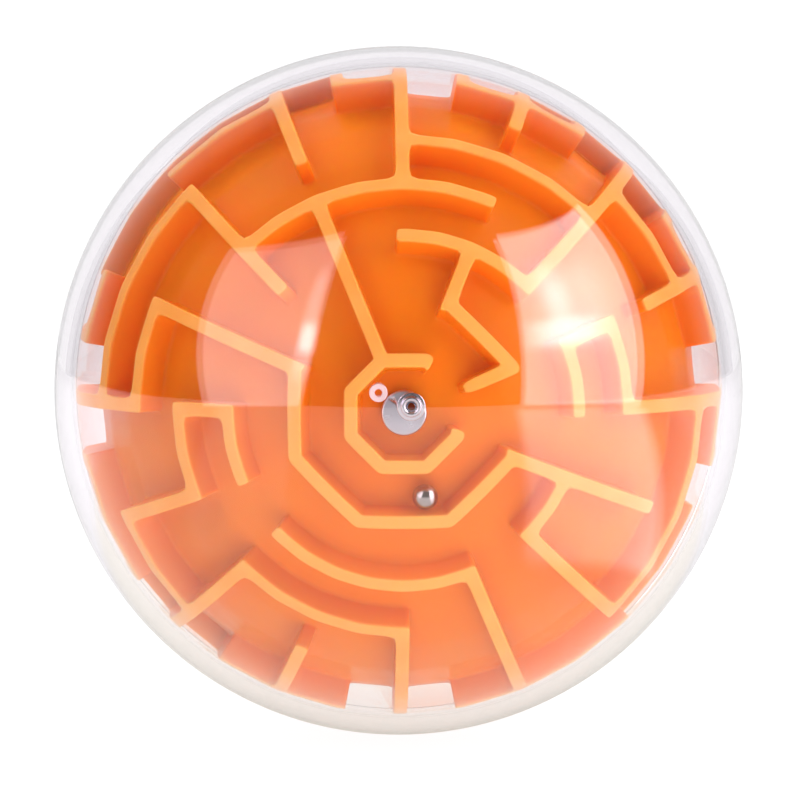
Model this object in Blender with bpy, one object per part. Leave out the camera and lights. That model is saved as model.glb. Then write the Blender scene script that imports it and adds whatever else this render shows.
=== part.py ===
"""3D maze ball: a clear hollow ball with a moulded spherical maze and one loose steel ball inside.

Frame: origin at the ball's centre, +Z up, the two poles of the maze on the Y axis (front pole at -Y).
An azimuth is counted clockwise from +Z by someone who looks along +Y; a polar angle is counted from
the pole of its own half. Lengths are in metres and angles in radians unless a name ends in _DEG.
"""

import math

import bmesh
import bpy
from mathutils import Vector

# Driving dimensions of the clear shell and of the maze in it
BALL_RADIUS = 0.0475
SHELL_WALL = 0.0024
SHELL_CLEARANCE = 0.00045
WALL_HEIGHT = 0.0036
WALL_THICKNESS = 0.0016
FLOOR_WALL = 0.0018
FLANGE_WALL = 0.0009
SEAM_GAP = 0.0003
LAP_LENGTH = 0.0015
LAP_GAP = 0.0003

# The grid that the maze walls stand on
RING_PITCH_DEG = 10.0
OCTAGON_CORNER_DEG = {1: 9.4, 2: 19.5}
LAST_RING = 7
EQUATOR = 9
DIRECTIONS = 32
STEP_DEG = 360 / DIRECTIONS
MOST_HALF_WIDTH_DEG = (6.4, 2.2)
BOWL_BANDS = 7

# The loose steel ball, which rolls in the channel between the first two rings
STEEL_RADIUS = 0.0016
STEEL_POLAR_DEG = 14.85
STEEL_AZIMUTH_DEG = 165.9
FLOOR_GAP = 0.0003

# The fittings on the floor inside the first ring, as offsets (across, up) from the pole
DISC_RADIUS = 0.00285
DISC_HEIGHT = 0.0012
RIVET_AT = (0.0009, 0.00085)
RIVET_BORE = 0.00046
RIVET_SHANK = 0.0008
RIVET_FLANGE = (0.0018, 0.00045)
RIVET_HEAD = (0.00135, 0.00055)
NOTCH_AT = (-0.0018, 0.0019)
NOTCH_SIZE = (0.0013, 0.00035, 0.0004)
PIN_AT = (-0.00325, 0.00268)
PIN_RADIUS = 0.00108
PIN_BORE = 0.00045

# How finely round shapes are divided, and their small edges
SHELL_SEGMENTS = 48
SHELL_ARC_STEPS = 12
DISC_SEGMENTS = 32
SMALL_SEGMENTS = 20
STEEL_SEGMENTS = 24
EDGE_BEVEL = 0.0002
RIVET_TAPER = 0.85
SHARP_EDGE_DEG = 35

INNER_RADIUS = BALL_RADIUS - SHELL_WALL
TOP_RADIUS = INNER_RADIUS - SHELL_CLEARANCE
FLOOR_RADIUS = TOP_RADIUS - WALL_HEIGHT
BOWL_RADIUS = FLOOR_RADIUS - FLOOR_WALL

# Walls of each half. A ring wall is (ring, first azimuth, last azimuth) in degrees, clockwise.
# A spoke wall is (azimuth, first ring, last ring): a first ring that ends in .5 starts just past it.
FRONT_RINGS = [
    (1, 112.5, 382.5),
    (2, 112.5, 292.5), (2, 22.5, 67.5),
    (3, 0, 45), (3, 67.5, 90), (3, 112.5, 135), (3, 157.5, 225), (3, 247.5, 270),
    (4, 315, 382.5), (4, 67.5, 90), (4, 180, 225), (4, 247.5, 270),
    (5, 0, 45), (5, 270, 292.5),
    (6, 45, 67.5), (6, 90, 135), (6, 225, 247.5), (6, 270, 315),
    (7, 11.25, 33.75), (7, 56.25, 78.75), (7, 90, 101.25), (7, 135, 168.75), (7, 191.25, 213.75),
    (7, 236.25, 258.75), (7, 281.25, 292.5), (7, 315, 337.5), (7, 348.75, 360),
]
FRONT_SPOKES = [
    (0, 4, 9), (22.5, 2, 3), (22.5, 6, 9), (45, 3, 9), (67.5, 1.5, 2), (67.5, 3, 4), (67.5, 5, 9),
    (90, 4, 9), (112.5, 2, 5), (135, 3, 6), (157.5, 3, 9), (180, 4, 9), (202.5, 5, 9), (225, 4, 9),
    (247.5, 4, 6), (270, 3, 4), (270, 5, 9), (292.5, 2, 5), (315, 3, 6), (337.5, 1, 4), (337.5, 5, 9),
    (11.25, 7, 9), (33.75, 7, 9), (56.25, 7, 9), (78.75, 7, 9), (101.25, 7, 9), (168.75, 7, 9),
    (191.25, 7, 9), (213.75, 7, 9), (236.25, 7, 9), (258.75, 7, 9), (281.25, 7, 9), (348.75, 7, 9),
]
REAR_RINGS = [
    (1, 180, 450),
    (2, 0, 157.5), (2, 202.5, 315),
    (3, 45, 90), (3, 112.5, 157.5), (3, 225, 270), (3, 292.5, 337.5),
    (4, 0, 67.5), (4, 135, 157.5), (4, 202.5, 247.5), (4, 292.5, 315),
    (5, 22.5, 45), (5, 90, 135), (5, 202.5, 225), (5, 270, 315), (5, 337.5, 360),
    (6, 45, 90), (6, 157.5, 180), (6, 247.5, 270), (6, 315, 337.5),
    (7, 11.25, 33.75), (7, 67.5, 90), (7, 112.5, 135), (7, 157.5, 180), (7, 202.5, 225),
    (7, 247.5, 270), (7, 303.75, 326.25),
]
REAR_SPOKES = [
    (0, 2, 4), (0, 6, 9), (22.5, 4, 7), (45, 2, 3), (67.5, 4, 5), (67.5, 6, 9), (90, 1, 2), (90, 3, 4),
    (112.5, 5, 9), (135, 2, 3), (135, 4, 6), (157.5, 6, 9), (180, 1, 3), (180, 4, 6), (202.5, 2, 3),
    (202.5, 7, 9), (225, 3, 4), (225, 5, 7), (247.5, 6, 9), (270, 2, 5), (292.5, 6, 9), (315, 4, 7),
    (337.5, 3, 5), (337.5, 7, 9), (33.75, 7, 9), (303.75, 7, 9),
]
# Each opening through the equator flange runs from one azimuth to the next, in degrees
FLANGE_OPENINGS = [
    (quarter + start, quarter + start + STEP_DEG)
    for quarter in (0, 90, 180, 270)
    for start in (-STEP_DEG, 0, STEP_DEG)
]


def remove_everything():
    for item in list(bpy.data.objects):
        bpy.data.objects.remove(item, do_unlink=True)


def material(name, colour, roughness, metallic=0.0, transmission=0.0):
    made = bpy.data.materials.new(name)
    made.use_nodes = True
    shader = made.node_tree.nodes["Principled BSDF"]
    shader.inputs["Base Color"].default_value = (*colour, 1)
    shader.inputs["Roughness"].default_value = roughness
    shader.inputs["Metallic"].default_value = metallic
    shader.inputs["Transmission Weight"].default_value = transmission
    made.diffuse_color = (*colour, 1)
    return made


def object_from(name, mesh_builder, finish, parent=None, location=(0, 0, 0)):
    """A shaded, linked object from a bmesh, with its normals pointing out."""
    mesh = bpy.data.meshes.new(name)
    bmesh.ops.recalc_face_normals(mesh_builder, faces=mesh_builder.faces)
    mesh_builder.to_mesh(mesh)
    mesh_builder.free()
    mesh.materials.append(finish)
    mesh.shade_smooth()
    mesh.set_sharp_from_angle(angle=math.radians(SHARP_EDGE_DEG))
    made = bpy.data.objects.new(name, mesh)
    made.parent = parent
    made.location = location
    bpy.context.scene.collection.objects.link(made)
    return made


def turned(profile, segments):
    """A bmesh turned about Z from an open or closed outline of (radius, height) points."""
    builder = bmesh.new()
    points = [builder.verts.new((radius, 0, height)) for radius, height in profile]
    on_axis = profile[0][0] == 0 and profile[-1][0] == 0
    pairs = list(zip(points, points[1:])) + ([] if on_axis else [(points[-1], points[0])])
    edges = [builder.edges.new(pair) for pair in pairs]
    bmesh.ops.spin(
        builder, geom=points + edges, cent=(0, 0, 0), axis=(0, 0, 1), angle=math.tau, steps=segments
    )
    bmesh.ops.remove_doubles(builder, verts=builder.verts, dist=1e-6)
    return builder


def arc(radius, first_height, last_height, steps):
    """Points (r, z) on a circle about the origin, between two heights, r >= 0."""
    first, last = math.asin(first_height / radius), math.asin(last_height / radius)
    angles = [first + (last - first) * step / steps for step in range(steps + 1)]
    points = [(radius * math.cos(angle), radius * math.sin(angle)) for angle in angles]
    return [(0.0, z) if abs(r) < 1e-9 else (r, z) for r, z in points]


def shell_profile(tongue):
    """The outline of one clear half, pole at +Z, with the tongue or the groove of the lap joint."""
    half_gap = SEAM_GAP / 2
    middle = (BALL_RADIUS + INNER_RADIUS) / 2
    outside = arc(BALL_RADIUS, BALL_RADIUS, half_gap, SHELL_ARC_STEPS)
    if tongue:
        inner_edge = [
            (middle - LAP_GAP / 2, half_gap),
            (middle - LAP_GAP / 2, -LAP_LENGTH),
            (INNER_RADIUS, -LAP_LENGTH),
        ]
        return outside + inner_edge + arc(INNER_RADIUS, 0.0, INNER_RADIUS, SHELL_ARC_STEPS)
    groove = LAP_LENGTH + LAP_GAP
    inner_edge = [(middle + LAP_GAP / 2, half_gap), (middle + LAP_GAP / 2, groove)]
    return outside + inner_edge + arc(INNER_RADIUS, groove, INNER_RADIUS, SHELL_ARC_STEPS)


def pole_frame(name, rear, distance):
    """An empty on a pole, its local Z pointing out of the ball and its local Y up."""
    empty = bpy.data.objects.new(name, None)
    empty.location = (0, distance if rear else -distance, 0)
    empty.rotation_euler = (math.pi / 2, 0, math.pi if rear else 0)
    bpy.context.scene.collection.objects.link(empty)
    return empty


class MazeHalf:
    """One moulded half: a bowl whose outside is a grid of cells, each at floor or at wall height."""

    BANDS = 2 * LAST_RING + 2
    LINES = 2 * DIRECTIONS

    def __init__(self, rear, rings, spokes):
        self.rear = rear
        self.walls = set()
        self.builder = bmesh.new()
        self.points = {}
        for ring, first, last in rings:
            self.raise_cells([self.band_of(ring)], self.lines_between(first, last))
        for azimuth, first, last in spokes:
            bands = range(self.band_of(first), self.band_of(last) + 1)
            self.raise_cells(bands, self.lines_between(azimuth, azimuth))
        flange = self.band_of(EQUATOR)
        self.raise_cells([flange], range(self.LINES))
        for first, last in FLANGE_OPENINGS:
            inner_lines = self.lines_between(first, last)[1:-1]
            self.walls -= {(flange, line % self.LINES) for line in inner_lines}

    def band_of(self, ring):
        return self.BANDS if ring == EQUATOR else int(2 * ring - 1)

    def lines_between(self, first, last):
        """Cell columns from the wall column at one azimuth to the wall column at another."""
        return range(2 * round(first / STEP_DEG), 2 * round(last / STEP_DEG) + 1)

    def raise_cells(self, bands, lines):
        self.walls |= {(band, line % self.LINES) for band in bands for line in lines}

    def polar_at(self, boundary, azimuth, radius):
        """Polar angle of a grid boundary: the two sides of each ring wall, then the flange's."""
        if boundary >= self.BANDS - 1:
            depth = SEAM_GAP / 2 + (FLANGE_WALL if boundary == self.BANDS - 1 else 0)
            return math.acos(depth / radius)
        if boundary == self.BANDS - 2:
            return math.radians(RING_PITCH_DEG * (LAST_RING + 1))
        ring = boundary // 2 + 1
        offset = (WALL_THICKNESS / 2 / radius) * (1 if boundary % 2 else -1)
        if ring not in OCTAGON_CORNER_DEG:
            return math.radians(RING_PITCH_DEG * ring) + math.asin(offset)
        # A straight side of an octagon lies in a plane through the ball's centre.
        corner = math.radians(OCTAGON_CORNER_DEG[ring])
        side = math.pi / 8
        flat = math.atan(math.tan(corner) * math.cos(side))
        from_flat = (azimuth + side) % (2 * side) - side
        across, along = math.cos(from_flat) * math.cos(flat), math.sin(flat)
        return math.atan2(along, across) + math.asin(offset / math.hypot(across, along))

    def place(self, radius, polar, azimuth):
        across = radius * math.sin(polar)
        depth = radius * math.cos(polar) * (1 if self.rear else -1)
        return Vector((across * math.sin(azimuth), depth, across * math.cos(azimuth)))

    def point(self, boundary, line, high):
        """The grid point where a boundary crosses a line, at wall height or at floor height."""
        line %= self.LINES
        key = (boundary, line, high)
        if key not in self.points:
            radius = TOP_RADIUS if high else FLOOR_RADIUS
            direction, right_side = divmod(line, 2)
            middle = math.radians(STEP_DEG * direction)
            around = radius * math.sin(self.polar_at(boundary, middle, radius))
            widest = math.radians(MOST_HALF_WIDTH_DEG[direction % 2])
            half_width = min(math.asin(min(1, WALL_THICKNESS / 2 / around)), widest)
            azimuth = middle + half_width * (1 if right_side else -1)
            polar = self.polar_at(boundary, azimuth, radius)
            self.points[key] = self.builder.verts.new(self.place(radius, polar, azimuth))
        return self.points[key]

    def is_wall(self, band, line):
        return (band, line % self.LINES) in self.walls

    def add_outside(self):
        pole = self.builder.verts.new(self.place(FLOOR_RADIUS, 0, 0))
        for line in range(self.LINES):
            self.builder.faces.new((pole, self.point(0, line, False), self.point(0, line + 1, False)))
            for band in range(1, self.BANDS + 1):
                high = self.is_wall(band, line)
                corners = [(band - 1, line), (band - 1, line + 1), (band, line + 1), (band, line)]
                self.builder.faces.new([self.point(*corner, high) for corner in corners])
                if high != self.is_wall(band + 1, line):
                    self.add_side((band, line), (band, line + 1))
                if band == 1 and high:
                    self.add_side((0, line), (0, line + 1))
                if high != self.is_wall(band, line + 1):
                    self.add_side((band - 1, line + 1), (band, line + 1))

    def add_side(self, start, end):
        low = [self.point(*start, False), self.point(*end, False)]
        self.builder.faces.new(low + [self.point(*end, True), self.point(*start, True)])

    def add_bowl(self):
        """The inside of the bowl and the flat rim that joins it to the outside."""
        rim_polar = math.acos(SEAM_GAP / 2 / BOWL_RADIUS)
        rows = []
        for row in range(BOWL_BANDS):
            polar = rim_polar * (1 - row / BOWL_BANDS)
            angles = [math.radians(STEP_DEG * direction) for direction in range(DIRECTIONS)]
            rows.append(
                [self.builder.verts.new(self.place(BOWL_RADIUS, polar, angle)) for angle in angles]
            )
        pole = self.builder.verts.new(self.place(BOWL_RADIUS, 0, 0))
        for here in range(DIRECTIONS):
            after = (here + 1) % DIRECTIONS
            rim = [self.point(self.BANDS, 2 * here + step, False) for step in range(3)]
            self.builder.faces.new((rows[0][here], rim[0], rim[1]))
            self.builder.faces.new((rows[0][here], rim[1], rim[2], rows[0][after]))
            for outer, inner in zip(rows, rows[1:]):
                self.builder.faces.new((outer[here], outer[after], inner[after], inner[here]))
            self.builder.faces.new((rows[-1][here], rows[-1][after], pole))

    def build(self):
        self.add_outside()
        self.add_bowl()
        return self.builder


def add_shells(clear):
    for name, rear in (("front_shell", False), ("rear_shell", True)):
        builder = turned(shell_profile(tongue=rear), SHELL_SEGMENTS)
        object_from(name, builder, clear, pole_frame(name + "_pole", rear, 0))


def add_mazes(orange):
    object_from("front_maze", MazeHalf(False, FRONT_RINGS, FRONT_SPOKES).build(), orange)
    object_from("rear_maze", MazeHalf(True, REAR_RINGS, REAR_SPOKES).build(), orange)


def cutter(name, builder, parent, location):
    made = object_from(name, builder, bpy.data.materials["bright_metal"], parent, location)
    made.hide_render = True
    made.display_type = "WIRE"
    return made


def cut(target, tool):
    boolean = target.modifiers.new("cut_" + tool.name, "BOOLEAN")
    boolean.operation = "DIFFERENCE"
    boolean.object = tool


def rivet_profile():
    """A hollow stepped rivet: shank, flange on the disc, and head on the flange."""
    head_radius, head_height = RIVET_HEAD
    flange_radius, flange_height = RIVET_FLANGE
    seat = DISC_HEIGHT + FLOOR_GAP / 2
    return [
        (RIVET_BORE, 0.0),
        (RIVET_SHANK, 0.0),
        (RIVET_SHANK, seat),
        (flange_radius, seat),
        (flange_radius, seat + flange_height),
        (head_radius, seat + flange_height),
        (head_radius * RIVET_TAPER, seat + flange_height + head_height),
        (RIVET_BORE, seat + flange_height + head_height),
    ]


def add_pole_fittings(side, rear, metal, clear):
    """The bright disc, its hollow rivet and the small clear pin, all standing on the maze floor."""
    pole = pole_frame(side + "_pole_frame", rear, FLOOR_RADIUS + FLOOR_GAP)
    disc_outline = [
        (0.0, DISC_HEIGHT),
        (DISC_RADIUS - EDGE_BEVEL, DISC_HEIGHT),
        (DISC_RADIUS, DISC_HEIGHT - EDGE_BEVEL),
        (DISC_RADIUS, 0.0),
        (0.0, 0.0),
    ]
    disc = object_from(side + "_pole_disc", turned(disc_outline, DISC_SEGMENTS), metal, pole)
    hole_radius = RIVET_SHANK + LAP_GAP / 2
    hole = [(0.0, 2 * DISC_HEIGHT), (hole_radius, 2 * DISC_HEIGHT), (hole_radius, -DISC_HEIGHT)]
    hole.append((0.0, -DISC_HEIGHT))
    cut(disc, cutter(side + "_rivet_hole", turned(hole, SMALL_SEGMENTS), pole, (*RIVET_AT, 0)))
    block = bmesh.new()
    bmesh.ops.create_cube(block, size=1)
    bmesh.ops.scale(block, vec=NOTCH_SIZE, verts=block.verts)
    cut(disc, cutter(side + "_notch", block, pole, (*NOTCH_AT, DISC_HEIGHT)))
    object_from(side + "_pole_rivet", turned(rivet_profile(), SMALL_SEGMENTS), metal, pole, (*RIVET_AT, 0))
    pin_length = INNER_RADIUS - FLOOR_RADIUS - 3 * FLOOR_GAP
    pin = [
        (PIN_BORE, 0.0),
        (PIN_RADIUS, 0.0),
        (PIN_RADIUS, pin_length - EDGE_BEVEL),
        (PIN_RADIUS - EDGE_BEVEL, pin_length),
        (PIN_BORE, pin_length),
    ]
    object_from(side + "_locating_pin", turned(pin, SMALL_SEGMENTS), clear, pole, (*PIN_AT, 0))


def add_steel_ball(metal):
    """The loose ball, parented to an empty on the pole axis that it rolls round."""
    axis = bpy.data.objects.new("ball_roll_axis", None)
    bpy.context.scene.collection.objects.link(axis)
    polar, azimuth = math.radians(STEEL_POLAR_DEG), math.radians(STEEL_AZIMUTH_DEG)
    distance = FLOOR_RADIUS + FLOOR_GAP + STEEL_RADIUS
    across = distance * math.sin(polar)
    centre = (across * math.sin(azimuth), -distance * math.cos(polar), across * math.cos(azimuth))
    builder = bmesh.new()
    rows = STEEL_SEGMENTS // 2
    bmesh.ops.create_uvsphere(
        builder, u_segments=STEEL_SEGMENTS, v_segments=rows, radius=STEEL_RADIUS
    )
    object_from("steel_ball", builder, metal, axis, centre)


def main():
    remove_everything()
    clear = material("clear_plastic", (0.93, 0.92, 0.95), 0.03, transmission=1.0)
    orange = material("orange_plastic", (0.93, 0.27, 0.03), 0.3)
    metal = material("bright_metal", (0.72, 0.72, 0.74), 0.15, metallic=1.0)
    add_shells(clear)
    add_mazes(orange)
    for side, rear in (("front", False), ("rear", True)):
        add_pole_fittings(side, rear, metal, clear)
    add_steel_ball(metal)


main()
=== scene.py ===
"""Looks of the 3D maze ball: clear shell, orange moulded maze, bright fittings and a steel ball."""

import math

import bmesh
import bpy
from mathutils import Matrix, Vector
from mathutils.bvhtree import BVHTree


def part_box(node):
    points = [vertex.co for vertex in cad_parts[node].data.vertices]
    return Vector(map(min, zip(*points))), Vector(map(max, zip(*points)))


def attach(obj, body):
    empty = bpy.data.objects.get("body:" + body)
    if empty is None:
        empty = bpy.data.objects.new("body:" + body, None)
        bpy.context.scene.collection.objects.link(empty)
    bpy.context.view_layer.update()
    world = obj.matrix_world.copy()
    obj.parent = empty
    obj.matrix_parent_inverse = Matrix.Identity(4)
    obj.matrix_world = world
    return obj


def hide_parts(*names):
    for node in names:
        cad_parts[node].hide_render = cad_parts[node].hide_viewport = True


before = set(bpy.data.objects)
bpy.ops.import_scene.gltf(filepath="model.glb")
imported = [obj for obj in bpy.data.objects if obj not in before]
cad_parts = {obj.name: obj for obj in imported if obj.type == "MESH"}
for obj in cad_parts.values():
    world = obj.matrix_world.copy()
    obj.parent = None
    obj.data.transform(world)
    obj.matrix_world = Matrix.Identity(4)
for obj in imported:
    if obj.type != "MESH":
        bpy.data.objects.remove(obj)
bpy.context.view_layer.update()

CASE = "ball_case"
STEEL = "rolling_ball"

# Radii, read from the frame: every node is centred on the ball's centre or its pole axis
BALL_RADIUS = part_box("front_shell")[1].z
TOP_RADIUS = max(vertex.co.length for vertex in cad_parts["front_maze"].data.vertices)
WALL_HEIGHT = 0.0036
FLOOR_WALL = 0.0018
SHELL_CLEARANCE = 0.00045
FLOOR_RADIUS = TOP_RADIUS - WALL_HEIGHT
BOWL_RADIUS = FLOOR_RADIUS - FLOOR_WALL
INNER_RADIUS = TOP_RADIUS + SHELL_CLEARANCE

# The walls are thicker than in the CAD model, because rounding thins them, and the seam is tighter
WALL_THICKNESS = 0.00176
FLANGE_WALL = 0.0009
SEAM_GAP = 0.00008
LAP_LENGTH = 0.0015

# The grid that the maze walls stand on, as in the CAD model
RING_PITCH = math.radians(10)
OCTAGON_CORNER = {1: math.radians(9.4), 2: math.radians(19.5)}
LAST_RING = 7
DIRECTIONS = 32
STEP = math.tau / DIRECTIONS
MOST_HALF_WIDTH = (math.radians(6.4), math.radians(2.2))

# The pole fittings' features that no box gives
RIVET_SHANK = 0.0008
RIVET_SEAT_GAP = 0.00003
HOLE_CLEARANCE = 0.00006
NOTCH_AT = (-0.0018, 0.0019)
NOTCH_SIZE = (0.0013, 0.00022, 0.0004)
NOTCH_TURN_DEG = -20
PIN_EXTRA_RADIUS = 0.00008

# How far the fittings' edges are rounded
DISC_EDGE = 0.00028
RIVET_EDGE = 0.00014
PIN_EDGE = 0.00018

# How finely round shapes are divided
SHELL_SEGMENTS = 192
SHELL_ARC_STEPS = 96
DISC_SEGMENTS = 96
HOLE_SEGMENTS = 64
RIVET_SEGMENTS = 80
PIN_SEGMENTS = 64
STEEL_SEGMENTS = 96
MAZE_SUBDIVISIONS = 2

# Where the camera stands, seen from the ball's centre
CAMERA_AZIMUTH_DEG = -0.955
CAMERA_ELEVATION_DEG = 3.87
CAMERA_DISTANCE = 12 * BALL_RADIUS
BALL_IN_FRAME = 0.861
SENSOR_WIDTH_MM = 36.0
SHIFT = (0.002, -0.0121)

# How high a softbox that lies on the table floats above it
TABLE_LIFT = 0.002


# --- meshes -----------------------------------------------------------------------------------


def piece_from(name, builder, finish, body, nodes, matrix=None, sharp_deg=40):
    """Turns a bmesh into a smooth-shaded piece that rides on a body and stands for CAD nodes."""
    bmesh.ops.recalc_face_normals(builder, faces=builder.faces)
    mesh = bpy.data.meshes.new(name)
    builder.to_mesh(mesh)
    builder.free()
    if matrix is not None:
        mesh.transform(matrix)
    mesh.shade_smooth()
    mesh.set_sharp_from_angle(angle=math.radians(sharp_deg))
    mesh.materials.append(finish)
    piece = bpy.data.objects.new(name, mesh)
    bpy.context.scene.collection.objects.link(piece)
    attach(piece, body)
    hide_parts(*nodes)
    return piece


def turned(profile, segments):
    """A bmesh turned about Z from (radius, height) points, a closed outline unless on the axis."""
    builder = bmesh.new()
    points = [builder.verts.new((radius, 0, height)) for radius, height in profile]
    on_axis = profile[0][0] == 0 and profile[-1][0] == 0
    pairs = list(zip(points, points[1:])) + ([] if on_axis else [(points[-1], points[0])])
    edges = [builder.edges.new(pair) for pair in pairs]
    bmesh.ops.spin(
        builder, geom=points + edges, cent=(0, 0, 0), axis=(0, 0, 1), angle=math.tau, steps=segments
    )
    bmesh.ops.remove_doubles(builder, verts=builder.verts, dist=1e-7)
    return builder


def arc(radius, first_height, last_height, steps):
    """Points (r, z) on a circle about the origin, between two heights, r >= 0."""
    first, last = math.asin(first_height / radius), math.asin(last_height / radius)
    angles = [first + (last - first) * step / steps for step in range(steps + 1)]
    points = [(radius * math.cos(angle), radius * math.sin(angle)) for angle in angles]
    return [(0.0, z) if abs(r) < 1e-9 else (r, z) for r, z in points]


def rounded(outline, radius, steps=4):
    """The outline with its corners rounded: each of its points is (r, z, share of the radius)."""
    points = []
    for index, (r, z, share) in enumerate(outline):
        here = Vector((r, z))
        if not share:
            points.append((r, z))
            continue
        before = Vector(outline[index - 1][:2]) - here
        after = Vector(outline[(index + 1) % len(outline)][:2]) - here
        start = here + before.normalized() * radius * share
        end = here + after.normalized() * radius * share
        for step in range(steps + 1):
            t = step / steps
            point = start * (1 - t) ** 2 + here * 2 * t * (1 - t) + end * t**2
            points.append((point.x, point.y))
    return points


def pole_matrix(rear):
    """Turns +Z to the pole of a half, with +Y up."""
    turn = Matrix.Rotation(math.pi / 2, 4, "X")
    return (Matrix.Rotation(math.pi, 4, "Z") if rear else Matrix.Identity(4)) @ turn


def on_pole(node, rear):
    """The matrix that stands a turned piece on the base of a CAD node, its Z out of the ball."""
    low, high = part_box(node)
    base = low.y if rear else high.y
    place = Matrix.Translation(((low.x + high.x) / 2, base, (low.z + high.z) / 2))
    return place @ pole_matrix(rear)


class MazeSurface:
    """The fine surface of one maze half: a quad cage on the CAD half's own grid, then subdivided.

    Whether a cell is wall or floor is read from the CAD mesh by a ray towards the ball's centre."""

    # Shares of the wall's height, then how sharp each kind of edge stays, 1 being fully sharp
    LEVELS = (0.0, 0.13, 0.87, 1.0)
    CREASES = {"top": 0.33, "base": 0.28, "corner": 0.0, "inside": 0.45, "rim": 0.8}
    CREASE_FROM = math.radians(28)
    BOWL_BANDS = 8

    def __init__(self, node, rear):
        self.rear = rear
        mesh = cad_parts[node].data
        self.tree = BVHTree.FromPolygons(
            [vertex.co for vertex in mesh.vertices],
            [tuple(face.vertices) for face in mesh.polygons],
        )
        rings = [(ring, side) for ring in range(1, LAST_RING + 1) for side in (-1, 0, 1)]
        self.boundaries = rings + [(LAST_RING + 1, 0), ("flange", 0), ("rim", 0)]
        self.lines = 3 * DIRECTIONS
        self.builder = bmesh.new()
        self.points = {}
        self.where = {}
        self.known = {}

    def polar_at(self, boundary, azimuth, radius):
        """Polar angle of a grid boundary: a side of a ring wall or its middle, or the flange's."""
        ring, side = self.boundaries[boundary]
        if ring == "rim":
            return math.acos(SEAM_GAP / 2 / radius)
        if ring == "flange":
            return math.acos((SEAM_GAP / 2 + FLANGE_WALL) / radius)
        offset = side * WALL_THICKNESS / 2 / radius
        if ring not in OCTAGON_CORNER:
            return RING_PITCH * ring + math.asin(offset)
        # A straight side of an octagon lies in a plane through the ball's centre.
        half_side = math.pi / 8
        flat = math.atan(math.tan(OCTAGON_CORNER[ring]) * math.cos(half_side))
        from_flat = (azimuth + half_side) % (2 * half_side) - half_side
        across, along = math.cos(from_flat) * math.cos(flat), math.sin(flat)
        return math.atan2(along, across) + math.asin(offset / math.hypot(across, along))

    def angles(self, boundary, line, radius):
        """Polar angle and azimuth of a grid point. A direction has three lines, a spoke's sides
        and its middle."""
        direction, side = divmod(line % self.lines, 3)
        middle = STEP * direction
        if side == 1:
            return self.polar_at(boundary, middle, radius), middle
        around = radius * math.sin(self.polar_at(boundary, middle, radius))
        half = min(math.asin(min(1, WALL_THICKNESS / 2 / around)), MOST_HALF_WIDTH[direction % 2])
        azimuth = middle + half * (side - 1)
        return self.polar_at(boundary, azimuth, radius), azimuth

    def place(self, radius, polar, azimuth):
        across = radius * math.sin(polar)
        depth = radius * math.cos(polar) * (1 if self.rear else -1)
        return Vector((across * math.sin(azimuth), depth, across * math.cos(azimuth)))

    def point(self, boundary, line, level):
        key = (boundary, line % self.lines, level)
        if key not in self.points:
            radius = FLOOR_RADIUS + WALL_HEIGHT * self.LEVELS[level]
            where = self.place(radius, *self.angles(boundary, line, radius))
            vertex = self.builder.verts.new(where)
            self.points[key] = vertex
            self.where[vertex] = key
        return self.points[key]

    def is_wall(self, row, line):
        """Row n lies between boundaries n - 1 and n; row 0 is the cap at the pole."""
        line %= self.lines
        if row == 0 or row >= len(self.boundaries):
            return False
        if (row, line) not in self.known:
            middle = (FLOOR_RADIUS + TOP_RADIUS) / 2
            corners = [(row - 1, line), (row - 1, line + 1), (row, line + 1), (row, line)]
            towards = Vector()
            for boundary, corner_line in corners:
                towards += self.place(1, *self.angles(boundary, corner_line, middle))
            towards.normalize()
            hit = self.tree.ray_cast(towards * INNER_RADIUS, -towards)[0]
            self.known[row, line] = hit is not None and hit.length > middle
        return self.known[row, line]

    def add_side(self, start, end):
        for low in range(len(self.LEVELS) - 1):
            corners = [(*start, low), (*end, low), (*end, low + 1), (*start, low + 1)]
            self.builder.faces.new([self.point(*corner) for corner in corners])

    def add_outside(self):
        top = len(self.LEVELS) - 1
        pole = self.builder.verts.new(self.place(FLOOR_RADIUS, 0, 0))
        half_cap = [
            self.builder.verts.new(self.place(FLOOR_RADIUS, *self.half_cap_angles(line)))
            for line in range(self.lines)
        ]
        for line in range(self.lines):
            after = (line + 1) % self.lines
            self.builder.faces.new((pole, half_cap[line], half_cap[after]))
            edge = (self.point(0, after, 0), self.point(0, line, 0))
            self.builder.faces.new((half_cap[line], half_cap[after], *edge))
            for row in range(1, len(self.boundaries)):
                wall = self.is_wall(row, line)
                corners = [(row - 1, line), (row - 1, line + 1), (row, line + 1), (row, line)]
                level = top if wall else 0
                self.builder.faces.new([self.point(*corner, level) for corner in corners])
                if wall != self.is_wall(row + 1, line):
                    self.add_side((row, line), (row, line + 1))
                if row == 1 and wall:
                    self.add_side((0, line), (0, line + 1))
                if wall != self.is_wall(row, line + 1):
                    self.add_side((row - 1, line + 1), (row, line + 1))

    def half_cap_angles(self, line):
        polar, azimuth = self.angles(0, line, FLOOR_RADIUS)
        return polar / 2, azimuth

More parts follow.
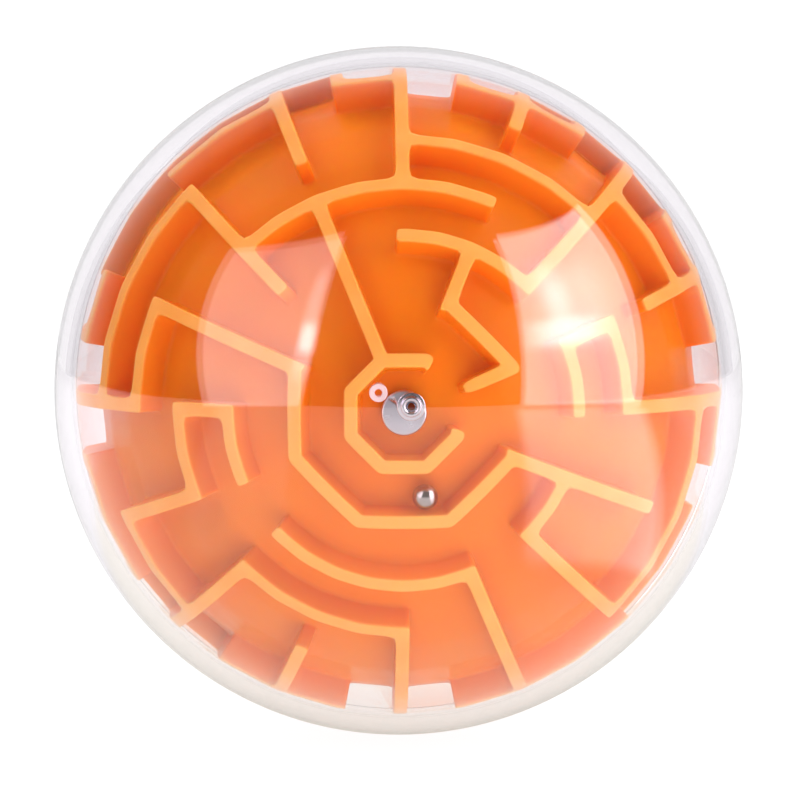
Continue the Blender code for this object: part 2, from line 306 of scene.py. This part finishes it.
    def add_bowl(self):
        """The inside of the bowl and the flat rim that joins it to the outside."""
        rim = len(self.boundaries) - 1
        rows = []
        for row in range(self.BOWL_BANDS):
            vertices = []
            for line in range(self.lines):
                azimuth = self.angles(rim, line, FLOOR_RADIUS)[1]
                polar = math.acos(SEAM_GAP / 2 / BOWL_RADIUS) * (1 - row / self.BOWL_BANDS)
                vertices.append(self.builder.verts.new(self.place(BOWL_RADIUS, polar, azimuth)))
            rows.append(vertices)
        pole = self.builder.verts.new(self.place(BOWL_RADIUS, 0, 0))
        for line in range(self.lines):
            after = (line + 1) % self.lines
            edge = (self.point(rim, after, 0), self.point(rim, line, 0))
            self.builder.faces.new((rows[0][line], rows[0][after], *edge))
            for outer, inner in zip(rows, rows[1:]):
                self.builder.faces.new((outer[line], outer[after], inner[after], inner[line]))
            self.builder.faces.new((rows[-1][line], rows[-1][after], pole))

    def crease(self):
        """Sharpens the cage's edges by what they are: wall tops, fillets, wall ends and the rim."""
        bmesh.ops.recalc_face_normals(self.builder, faces=self.builder.faces)
        layer = self.builder.edges.layers.float.new("crease_edge")
        top = len(self.LEVELS) - 1
        rim = len(self.boundaries) - 1
        for edge in self.builder.edges:
            if len(edge.link_faces) != 2:
                continue
            turn = edge.calc_face_angle_signed()
            if abs(turn) < self.CREASE_FROM:
                continue
            keys = [self.where.get(vertex) for vertex in edge.verts]
            if None in keys or all(key[0] == rim for key in keys):
                kind = "rim"
            elif keys[0][:2] == keys[1][:2]:
                kind = "corner" if turn > 0 else "inside"
            else:
                kind = "top" if keys[0][2] == top else "base"
            edge[layer] = self.CREASES[kind]

    def build(self):
        self.add_outside()
        self.add_bowl()
        self.crease()
        return self.builder


# --- materials --------------------------------------------------------------------------------

# The orange at shares of the wall's height: floor, wall and top. This is painted shade and light:
# the floor and walls are darker for the shade in the channels, and the tops are paler, painted as
# lit
PAINTED_SHADE_FLOOR_ORANGE = (0.05, (0.83, 0.188, 0.003, 1))
PAINTED_SHADE_WALL_ORANGE = (0.85, (0.88, 0.235, 0.006, 1))
PAINTED_LIGHT_TOP_ORANGE = (1.0, (0.93, 0.38, 0.08, 1))

# Clear plastic: what each surface lets through, and what each metre takes away, which leaves lilac
CLEAR_TINT = (0.994, 0.988, 0.994)
CLEAR_ABSORPTION = {"Color": (0.28, 0.0, 0.28, 1), "Density": 13.0}
PLASTIC_IOR = 1.49


def new_material(name):
    made = bpy.data.materials.new(name)
    made.use_nodes = True
    tree = made.node_tree
    return made, tree, tree.nodes["Principled BSDF"]


def add_node(tree, kind, settings=None, **inputs):
    node = tree.nodes.new(kind)
    for name, value in (settings or {}).items():
        setattr(node, name, value)
    for name, value in inputs.items():
        node.inputs[name.replace("_", " ")].default_value = value
    return node


def add_bump(tree, shader, scale, strength, distance, detail=3.0):
    coordinates = tree.nodes.new("ShaderNodeTexCoord")
    noise = add_node(tree, "ShaderNodeTexNoise", Scale=scale, Detail=detail)
    bump = add_node(tree, "ShaderNodeBump", Strength=strength, Distance=distance)
    tree.links.new(coordinates.outputs["Object"], noise.inputs["Vector"])
    tree.links.new(noise.outputs["Fac"], bump.inputs["Height"])
    tree.links.new(bump.outputs["Normal"], shader.inputs["Normal"])
    return coordinates, noise


def map_range(tree, source, low, high, to_low, to_high):
    node = add_node(tree, "ShaderNodeMapRange")
    names = ("From Min", "From Max", "To Min", "To Max")
    for name, value in zip(names, (low, high, to_low, to_high)):
        node.inputs[name].default_value = value
    tree.links.new(source, node.inputs["Value"])
    return node.outputs["Result"]


def orange_plastic():
    """Satin orange plastic that lets some light into its thin walls, with painted shade and light
    by height: deep on the floor for the shade in the channels, paler on the wall tops for the light
    that falls on them.
    """
    made, tree, shader = new_material("orange_plastic")
    coordinates, noise = add_bump(tree, shader, scale=420.0, strength=0.05, distance=0.0001)
    length = add_node(tree, "ShaderNodeVectorMath", {"operation": "LENGTH"})
    tree.links.new(coordinates.outputs["Object"], length.inputs[0])
    # Painted shade and light: the colour runs by height from the shaded floor to the lit wall tops
    height = map_range(tree, length.outputs["Value"], FLOOR_RADIUS, TOP_RADIUS, 0.0, 1.0)
    painted_shade_ramp = add_node(tree, "ShaderNodeValToRGB")
    stops = painted_shade_ramp.color_ramp.elements
    stops[0].position, stops[0].color = PAINTED_SHADE_FLOOR_ORANGE
    stops[1].position, stops[1].color = PAINTED_LIGHT_TOP_ORANGE
    stops.new(PAINTED_SHADE_WALL_ORANGE[0]).color = PAINTED_SHADE_WALL_ORANGE[1]
    tree.links.new(height, painted_shade_ramp.inputs["Fac"])
    mottle = add_node(tree, "ShaderNodeTexNoise", Scale=60.0, Detail=2.0)
    tree.links.new(coordinates.outputs["Object"], mottle.inputs["Vector"])
    shade = add_node(tree, "ShaderNodeHueSaturation")
    brightness = map_range(tree, mottle.outputs["Fac"], 0.3, 0.7, 0.96, 1.04)
    tree.links.new(brightness, shade.inputs["Value"])
    tree.links.new(painted_shade_ramp.outputs["Color"], shade.inputs["Color"])
    tree.links.new(shade.outputs["Color"], shader.inputs["Base Color"])
    rough = map_range(tree, noise.outputs["Fac"], 0.3, 0.7, 0.30, 0.40)
    tree.links.new(rough, shader.inputs["Roughness"])
    shader.inputs["Subsurface Weight"].default_value = 0.5
    shader.inputs["Subsurface Radius"].default_value = (1.0, 0.35, 0.08)
    shader.inputs["Subsurface Scale"].default_value = 0.003
    shader.inputs["Specular IOR Level"].default_value = 0.2
    return made


def let_lamps_through(tree, shader, tint):
    """Lamp light and soft bounced light pass clear plastic straight, so the inside stays lit."""
    through = add_node(tree, "ShaderNodeBsdfTransparent", Color=(*tint, 1))
    path = tree.nodes.new("ShaderNodeLightPath")
    either = add_node(tree, "ShaderNodeMath", {"operation": "MAXIMUM"})
    mix = tree.nodes.new("ShaderNodeMixShader")
    tree.links.new(path.outputs["Is Shadow Ray"], either.inputs[0])
    tree.links.new(path.outputs["Is Diffuse Ray"], either.inputs[1])
    tree.links.new(either.outputs["Value"], mix.inputs["Fac"])
    tree.links.new(shader.outputs["BSDF"], mix.inputs[1])
    tree.links.new(through.outputs["BSDF"], mix.inputs[2])
    tree.links.new(mix.outputs["Shader"], tree.nodes["Material Output"].inputs["Surface"])


def clear_plastic():
    """Polished clear plastic with a trace of lilac, stronger where light goes a long way in it."""
    made, tree, shader = new_material("clear_plastic")
    tree.nodes.remove(shader)
    glass = add_node(
        tree, "ShaderNodeBsdfGlass", Color=(*CLEAR_TINT, 1), Roughness=0.0, IOR=PLASTIC_IOR
    )
    add_bump(tree, glass, scale=18.0, strength=0.004, distance=0.0002, detail=1.0)
    let_lamps_through(tree, glass, CLEAR_TINT)
    absorption = add_node(tree, "ShaderNodeVolumeAbsorption", **CLEAR_ABSORPTION)
    tree.links.new(absorption.outputs["Volume"], tree.nodes["Material Output"].inputs["Volume"])
    return made


def milky_plastic():
    """The pins' clear plastic, slightly clouded."""
    made, tree, shader = new_material("clear_pin")
    add_bump(tree, shader, scale=900.0, strength=0.1, distance=0.0001)
    shader.inputs["Base Color"].default_value = (0.97, 0.90, 0.93, 1)
    shader.inputs["Roughness"].default_value = 0.1
    shader.inputs["IOR"].default_value = PLASTIC_IOR
    shader.inputs["Transmission Weight"].default_value = 0.6
    let_lamps_through(tree, shader, (0.95, 0.9, 0.93))
    return made


def metal(name, colour, low_rough, high_rough, scale):
    made, tree, shader = new_material(name)
    noise = add_bump(tree, shader, scale=scale, strength=0.08, distance=0.0001)[1]
    shader.inputs["Base Color"].default_value = (*colour, 1)
    shader.inputs["Metallic"].default_value = 1.0
    rough = map_range(tree, noise.outputs["Fac"], 0.3, 0.7, low_rough, high_rough)
    tree.links.new(rough, shader.inputs["Roughness"])
    return made


# --- pieces -----------------------------------------------------------------------------------


def add_shells(clear):
    """Two clear halves that meet in a lapped seam on the equator."""
    half_gap = SEAM_GAP / 2
    middle = (BALL_RADIUS + INNER_RADIUS) / 2
    groove_end = LAP_LENGTH + SEAM_GAP
    outside = arc(BALL_RADIUS, BALL_RADIUS, half_gap, SHELL_ARC_STEPS)
    tongue = [
        (middle - half_gap, half_gap),
        (middle - half_gap, -LAP_LENGTH),
        (INNER_RADIUS, -LAP_LENGTH),
    ]
    groove = [(middle + half_gap, half_gap), (middle + half_gap, groove_end)]
    for name, rear in (("front", False), ("rear", True)):
        edge, start = (tongue, 0.0) if rear else (groove, groove_end)
        profile = outside + edge + arc(INNER_RADIUS, start, INNER_RADIUS, SHELL_ARC_STEPS)
        piece_from(
            name + "_clear_shell", turned(profile, SHELL_SEGMENTS), clear, CASE, [name + "_shell"],
            pole_matrix(rear),
        )


def add_mazes(orange):
    for name, rear in (("front", False), ("rear", True)):
        node = name + "_maze"
        builder = MazeSurface(node, rear).build()
        piece = piece_from(
            name + "_moulded_maze", builder, orange, CASE, [node], sharp_deg=180
        )
        surface = piece.modifiers.new("fine_surface", "SUBSURF")
        surface.levels = MAZE_SUBDIVISIONS
        surface.render_levels = MAZE_SUBDIVISIONS


def cut_away(piece, cutters):
    """Cuts solids from a piece for good, and drops them."""
    for tool in cutters:
        boolean = piece.modifiers.new("cut", "BOOLEAN")
        boolean.object = tool
    graph = bpy.context.evaluated_depsgraph_get()
    result = bpy.data.meshes.new_from_object(piece.evaluated_get(graph))
    piece.modifiers.clear()
    piece.data = result
    for tool in cutters:
        bpy.data.objects.remove(tool, do_unlink=True)


def cutter(builder, matrix):
    mesh = bpy.data.meshes.new("cutter")
    bmesh.ops.recalc_face_normals(builder, faces=builder.faces)
    builder.to_mesh(mesh)
    builder.free()
    mesh.transform(matrix)
    made = bpy.data.objects.new("cutter", mesh)
    bpy.context.scene.collection.objects.link(made)
    return made


def add_disc(name, rear, finish):
    """The satin disc, with the hole that its rivet stands in and a small notch on its face."""
    node = name + "_pole_disc"
    low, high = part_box(node)
    radius, height = (high.x - low.x) / 2, high.y - low.y
    outline = [(0.0, height, 0), (radius, height, 1), (radius, 0.0, 0.4), (0.0, 0.0, 0)]
    stand = on_pole(node, rear)
    disc = piece_from(
        name + "_bright_disc", turned(rounded(outline, DISC_EDGE), DISC_SEGMENTS), finish, CASE,
        [node], stand, sharp_deg=30,
    )
    hole = bmesh.new()
    hole_radius = RIVET_SHANK + HOLE_CLEARANCE
    bmesh.ops.create_cone(
        hole, cap_ends=True, segments=HOLE_SEGMENTS, radius1=hole_radius, radius2=hole_radius,
        depth=4 * height,
    )
    notch = bmesh.new()
    bmesh.ops.create_cube(notch, size=1)
    bmesh.ops.scale(notch, vec=NOTCH_SIZE, verts=notch.verts)
    notch_at = Matrix.Translation((*NOTCH_AT, height))
    cut_away(disc, [
        cutter(hole, on_pole(name + "_pole_rivet", rear)),
        cutter(notch, stand @ notch_at @ Matrix.Rotation(math.radians(NOTCH_TURN_DEG), 4, "Z")),
    ])


def add_rivet(name, rear, finish):
    """The hollow stepped rivet: shank, flange on the disc, and a head with a countersunk bore.

    The bore and the head are shares of the flange's radius, as seen in the photo."""
    node = name + "_pole_rivet"
    low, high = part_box(node)
    disc_low, disc_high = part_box(name + "_pole_disc")
    flange, total = (high.x - low.x) / 2, high.y - low.y
    seat = disc_high.y - disc_low.y + RIVET_SEAT_GAP
    bore, head = flange * 0.25, flange * 0.75
    step = seat + (total - seat) * 0.45
    outline = [
        (bore, 0.0, 0),
        (RIVET_SHANK, 0.0, 0),
        (RIVET_SHANK, seat, 0),
        (flange, seat, 0.3),
        (flange, step, 1),
        (head, step, 0.4),
        (head * 0.94, total, 1),
        (bore * 1.9, total, 0.6),
        (bore, total - 0.0004, 0.4),
    ]
    piece_from(
        name + "_hollow_rivet", turned(rounded(outline, RIVET_EDGE), RIVET_SEGMENTS), finish, CASE,
        [node], on_pole(node, rear),
    )


def add_pin(name, rear, finish):
    """The small clear ring, a little wider than the CAD pin to show at the photo's size."""
    node = name + "_locating_pin"
    low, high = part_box(node)
    radius, height = (high.x - low.x) / 2 + PIN_EXTRA_RADIUS, high.y - low.y
    bore = radius * 0.4
    outline = [(bore, 0.0, 0), (radius, 0.0, 0), (radius, height, 1), (bore, height, 1)]
    piece_from(
        name + "_clear_pin", turned(rounded(outline, PIN_EDGE), PIN_SEGMENTS), finish, CASE, [node],
        on_pole(node, rear),
    )


def add_steel_ball(steel):
    low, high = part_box("steel_ball")
    builder = bmesh.new()
    radius = (high.z - low.z) / 2
    bmesh.ops.create_uvsphere(
        builder, u_segments=STEEL_SEGMENTS, v_segments=STEEL_SEGMENTS // 2, radius=radius
    )
    matrix = Matrix.Translation((low + high) / 2)
    piece_from("polished_ball", builder, steel, STEEL, ["steel_ball"], matrix)


# --- studio -----------------------------------------------------------------------------------

# Softboxes: directions (azimuth, elevation) of the corners, clockwise from the top left, bow of
# the sides, glow at the top, glow at the bottom, soft edge, and distance
SOFTBOXES = {
    "left_window": ([(-75, 40), (-27, 55), (-32.5, -2), (-66, -3)], 2.0, 2.1, 3.0, 0.015, 1.0),
    "left_strip": ([(-33, 44), (-28, 46), (-30, 3), (-37, 3)], 0.0, 1.6, 2.2, 0.2, 0.97),
    "left_spot": ([(-35, 26), (-27.5, 26), (-28, 13), (-36, 13)], 0.0, 6.0, 6.0, 0.35, 0.94),
    "right_window": ([(45, 51), (96.5, 46), (84, -3), (39, -2)], 0.5, 4.3, 4.5, 0.015, 1.0),
    "right_patch": ([(44, 44), (90, 40), (84, 8), (40, 8)], 0.0, 2.4, 2.4, 0.35, 0.97),
    "right_glow": ([(50, 44), (68, 42), (66, 14), (50, 14)], 0.0, 3.0, 4.0, 0.5, 0.96),
    "right_band": ([(38.5, 25), (76, 23), (76, 13), (38.5, 13)], 0.0, 4.5, 4.5, 0.35, 0.94),
    "right_sheen": ([(36, -1), (86, -1), (92, -38), (32, -38)], 0.0, 2.7, 1.0, 0.08, 0.97),
    "left_sheen": ([(-62, -1), (-34, -1), (-30, -36), (-66, -36)], 0.0, 0.5, 0.1, 0.06, 0.97),
}

# Lamps: azimuth, elevation, distance, size and radiance
LAMPS = {
    "left_key": (-56, 30, 1.0, (0.8, 0.8), 2.0),
    "right_key": (58, 25, 1.0, (0.8, 0.8), 3.4),
    "front_fill": (5, 0, 1.6, (1.8, 1.2), 0.7),
    "overhead": (0, 75, 1.0, (1.2, 1.2), 0.9),
    "table_bounce": (15, -35, 1.2, (1.6, 1.0), 3.7),
    "left_rim": (-125, 40, 1.0, (0.8, 0.8), 3.3),
    "right_rim": (125, 40, 1.0, (0.8, 0.8), 3.3),
    "back_fill": (180, 50, 1.2, (1.2, 1.2), 1.7),
}


def stage_plane(name, corners, finish):
    mesh = bpy.data.meshes.new(name)
    mesh.from_pydata(corners, [], [tuple(range(len(corners)))])
    mesh.materials.append(finish)
    made = bpy.data.objects.new(name, mesh)
    made.visible_shadow = False
    bpy.context.scene.collection.objects.link(made)


def seen_as(tree, camera, through, otherwise, bent):
    """A grey level that depends on how it is looked at: straight, through clear plastic, or else.

    Light that was mirrored inside the plastic on its way counts as bent. Each level is a number
    or a socket."""
    path = tree.nodes.new("ShaderNodeLightPath")
    bounces = add_node(tree, "ShaderNodeMath", {"operation": "ADD", "use_clamp": True})
    tree.links.new(path.outputs["Glossy Depth"], bounces.inputs[0])
    tree.links.new(path.outputs["Diffuse Depth"], bounces.inputs[1])
    passed = blend_levels(tree, bounces.outputs["Value"], through, bent)
    level = blend_levels(tree, path.outputs["Is Transmission Ray"], otherwise, passed)
    return blend_levels(tree, path.outputs["Is Camera Ray"], level, camera)


def blend_levels(tree, factor, first, second):
    """The first level where the factor is 0 and the second where it is 1."""
    mix = tree.nodes.new("ShaderNodeMix")
    tree.links.new(factor, mix.inputs["Factor"])
    for name, value in (("A", first), ("B", second)):
        if isinstance(value, float):
            mix.inputs[name].default_value = value
        else:
            tree.links.new(value, mix.inputs[name])
    return mix.outputs["Result"]


def white_surface(name, camera, through, otherwise, bent, mirrored=(1.0, 1.0, 1.0)):
    """White sweep: mostly glow, with enough matt white in it to take a faint contact shadow.

    Mirrored is its colour in reflections: on the table it is a painted warm bounce, the ball's
    orange light thrown on it."""
    made, tree, shader = new_material(name)
    shader.inputs["Base Color"].default_value = (0.1, 0.1, 0.1, 1)
    shader.inputs["Roughness"].default_value = 1.0
    shader.inputs["Specular IOR Level"].default_value = 0.0
    path = tree.nodes.new("ShaderNodeLightPath")
    colour = add_node(tree, "ShaderNodeValToRGB")
    colour.color_ramp.elements[0].color = (1, 1, 1, 1)
    colour.color_ramp.elements[1].color = (*mirrored, 1)
    tree.links.new(path.outputs["Is Glossy Ray"], colour.inputs["Fac"])
    tree.links.new(colour.outputs["Color"], shader.inputs["Emission Color"])
    strength = seen_as(tree, camera, through, otherwise, bent)
    tree.links.new(strength, shader.inputs["Emission Strength"])
    return made


def add_stage():
    """A white table in front of and under the ball, its far part brighter, and a backdrop."""
    near, middle, far, side = -1.6, 0.08, 1.5, 2.2
    half_wide, tall = 1.0, 0.9
    floor = -BALL_RADIUS
    for name, start, end, straight, glow, bent, mirrored in (
        # The table's mirrored colour is a painted bounce of the ball's orange light
        ("table", near, middle, 0.96, 0.66, 0.96, (1.0, 0.98, 0.88)),
        ("table_back", middle, far, 1.00, 0.75, 1.00, (1.0, 1.0, 1.0)),
    ):
        flat = ((-side, start), (side, start), (side, end), (-side, end))
        corners = [(x, y, floor) for x, y in flat]
        finish = white_surface(name + "_white", straight, 0.98, glow, bent, mirrored)
        stage_plane(name, corners, finish)
    upright = ((-half_wide, floor), (half_wide, floor), (half_wide, tall), (-half_wide, tall))
    corners = [(x, far, z) for x, z in upright]
    stage_plane("backdrop", corners, white_surface("backdrop_white", 1.0, 1.03, 0.9, 1.0))


def towards(azimuth_deg, elevation_deg):
    """The direction of an azimuth from the front, positive to the right, and an elevation."""
    azimuth, elevation = math.radians(azimuth_deg), math.radians(elevation_deg)
    across = math.cos(elevation)
    return Vector((math.sin(azimuth) * across, -math.cos(azimuth) * across, math.sin(elevation)))


def panel_material():
    """Glows as its "glow" attribute says, and only in reflections."""
    made, tree, shader = new_material("softbox")
    tree.nodes.remove(shader)
    glow = add_node(tree, "ShaderNodeAttribute", {"attribute_name": "glow"})
    path = tree.nodes.new("ShaderNodeLightPath")
    strength = add_node(tree, "ShaderNodeMath", {"operation": "MULTIPLY"})
    reflected = map_range(tree, path.outputs["Glossy Depth"], 0, 1, 0, 1)
    tree.links.new(reflected, strength.inputs[0])
    tree.links.new(glow.outputs["Fac"], strength.inputs[1])
    emission = tree.nodes.new("ShaderNodeEmission")
    tree.links.new(strength.outputs["Value"], emission.inputs["Strength"])
    both = tree.nodes.new("ShaderNodeAddShader")
    tree.links.new(emission.outputs["Emission"], both.inputs[0])
    tree.links.new(tree.nodes.new("ShaderNodeBsdfTransparent").outputs["BSDF"], both.inputs[1])
    tree.links.new(both.outputs["Shader"], tree.nodes["Material Output"].inputs["Surface"])
    made.cycles.emission_sampling = "NONE"
    return made


def ramp_up(share, width):
    """0 at either end of a side, 1 in its middle, with a smooth rise over the width at each end."""
    t = min(1, min(share, 1 - share) / width)
    return t * t * (3 - 2 * t)


def panel(name, finish, corners, bow, top, bottom, edge, distance, cells=48):
    """A softbox that shows only in reflections, given by the directions of its four corners.

    Its sides bow outwards by some degrees, its glow runs from bottom to top, and edge is the
    share of its width over which the glow comes up from the rim. Below the horizon it lies on
    the table."""
    top_left, top_right, low_right, low_left = [Vector(corner) for corner in corners]
    points, glows = [], []
    for row in range(cells + 1):
        v = row / cells
        for column in range(cells + 1):
            u = column / cells
            angle = low_left.lerp(top_left, v).lerp(low_right.lerp(top_right, v), u)
            angle.x += (2 * u - 1) * bow * 4 * v * (1 - v)
            way = towards(*angle)
            to_table = (BALL_RADIUS - TABLE_LIFT) / max(-way.z, 1e-3)
            points.append(way * min(distance, to_table))
            glows.append((bottom + (top - bottom) * v) * ramp_up(u, edge) * ramp_up(v, edge))
    wide = cells + 1
    corner_steps = (0, 1, wide + 1, wide)
    starts = [row * wide + column for row in range(cells) for column in range(cells)]
    mesh = bpy.data.meshes.new(name)
    mesh.from_pydata(points, [], [tuple(start + step for step in corner_steps) for start in starts])
    mesh.attributes.new("glow", "FLOAT", "POINT").data.foreach_set("value", glows)
    mesh.materials.append(finish)
    made = bpy.data.objects.new(name, mesh)
    made.visible_camera = False
    made.visible_diffuse = False
    made.visible_shadow = False
    bpy.context.scene.collection.objects.link(made)


def add_panels():
    """Two tall windows of light, the bright patches in them, and their sheen on the table."""
    finish = panel_material()
    for name, settings in SOFTBOXES.items():
        panel(name, finish, *settings)


def area_light(name, azimuth_deg, elevation_deg, distance, size, radiance):
    """A flat panel that faces the ball, for soft light only. Its power follows its radiance."""
    lamp = bpy.data.lights.new(name, "AREA")
    lamp.shape = "RECTANGLE"
    lamp.size, lamp.size_y = size
    lamp.energy = radiance * math.pi * size[0] * size[1]
    made = bpy.data.objects.new(name, lamp)
    away = towards(azimuth_deg, elevation_deg)
    made.location = away * distance
    made.rotation_euler = away.to_track_quat("Z", "Y").to_euler()
    made.visible_glossy = False
    made.visible_transmission = False
    bpy.context.scene.collection.objects.link(made)
    return made


def add_lights():
    """Keys and fill from the front, light off the table, and lamps behind for rim and rear."""
    for name, settings in LAMPS.items():
        area_light(name, *settings)


def add_world():
    """A dim room in front of the ball and a bright one behind it, which looks white to the camera.

    The dim part keeps its mirror image off the orange. The bright part makes the clear rim pale."""
    world = bpy.data.worlds.new("studio")
    world.use_nodes = True
    tree = world.node_tree
    direction = tree.nodes.new("ShaderNodeTexCoord")
    parts = tree.nodes.new("ShaderNodeSeparateXYZ")
    tree.links.new(direction.outputs["Generated"], parts.inputs[0])
    otherwise = map_range(tree, parts.outputs["Y"], 0.6, 1.0, 0.03, 0.9)
    bent = map_range(tree, parts.outputs["Y"], 0.5, 0.85, 0.12, 0.97)
    strength = seen_as(tree, camera=1.0, through=1.03, otherwise=otherwise, bent=bent)
    tree.links.new(strength, tree.nodes["Background"].inputs["Strength"])
    tree.nodes["Background"].inputs["Color"].default_value = (1, 1, 1, 1)
    bpy.context.scene.world = world


def add_camera():
    camera = bpy.data.cameras.new("camera")
    half_view = math.tan(math.asin(BALL_RADIUS / CAMERA_DISTANCE)) / BALL_IN_FRAME
    camera.sensor_width = SENSOR_WIDTH_MM
    camera.lens = camera.sensor_width / 2 / half_view
    camera.shift_x, camera.shift_y = SHIFT
    camera.clip_start, camera.clip_end = 0.01, 20.0
    made = bpy.data.objects.new("camera", camera)
    back = towards(CAMERA_AZIMUTH_DEG, CAMERA_ELEVATION_DEG)
    made.location = back * CAMERA_DISTANCE
    made.rotation_euler = back.to_track_quat("Z", "Y").to_euler()
    bpy.context.scene.collection.objects.link(made)
    bpy.context.scene.camera = made


def main():
    bpy.context.scene.view_settings.view_transform = "Standard"
    bright = metal("bright_metal", (0.68, 0.655, 0.76), 0.26, 0.36, 700.0)
    dark = metal("rivet_metal", (0.68, 0.655, 0.74), 0.12, 0.20, 900.0)
    steel = metal("ball_steel", (0.46, 0.41, 0.42), 0.20, 0.26, 1500.0)
    milky = milky_plastic()
    add_shells(clear_plastic())
    add_mazes(orange_plastic())
    for name, rear in (("front", False), ("rear", True)):
        add_disc(name, rear, bright)
        add_rivet(name, rear, dark)
        add_pin(name, rear, milky)
    add_steel_ball(steel)
    add_stage()
    add_panels()
    add_lights()
    add_world()
    add_camera()


main()
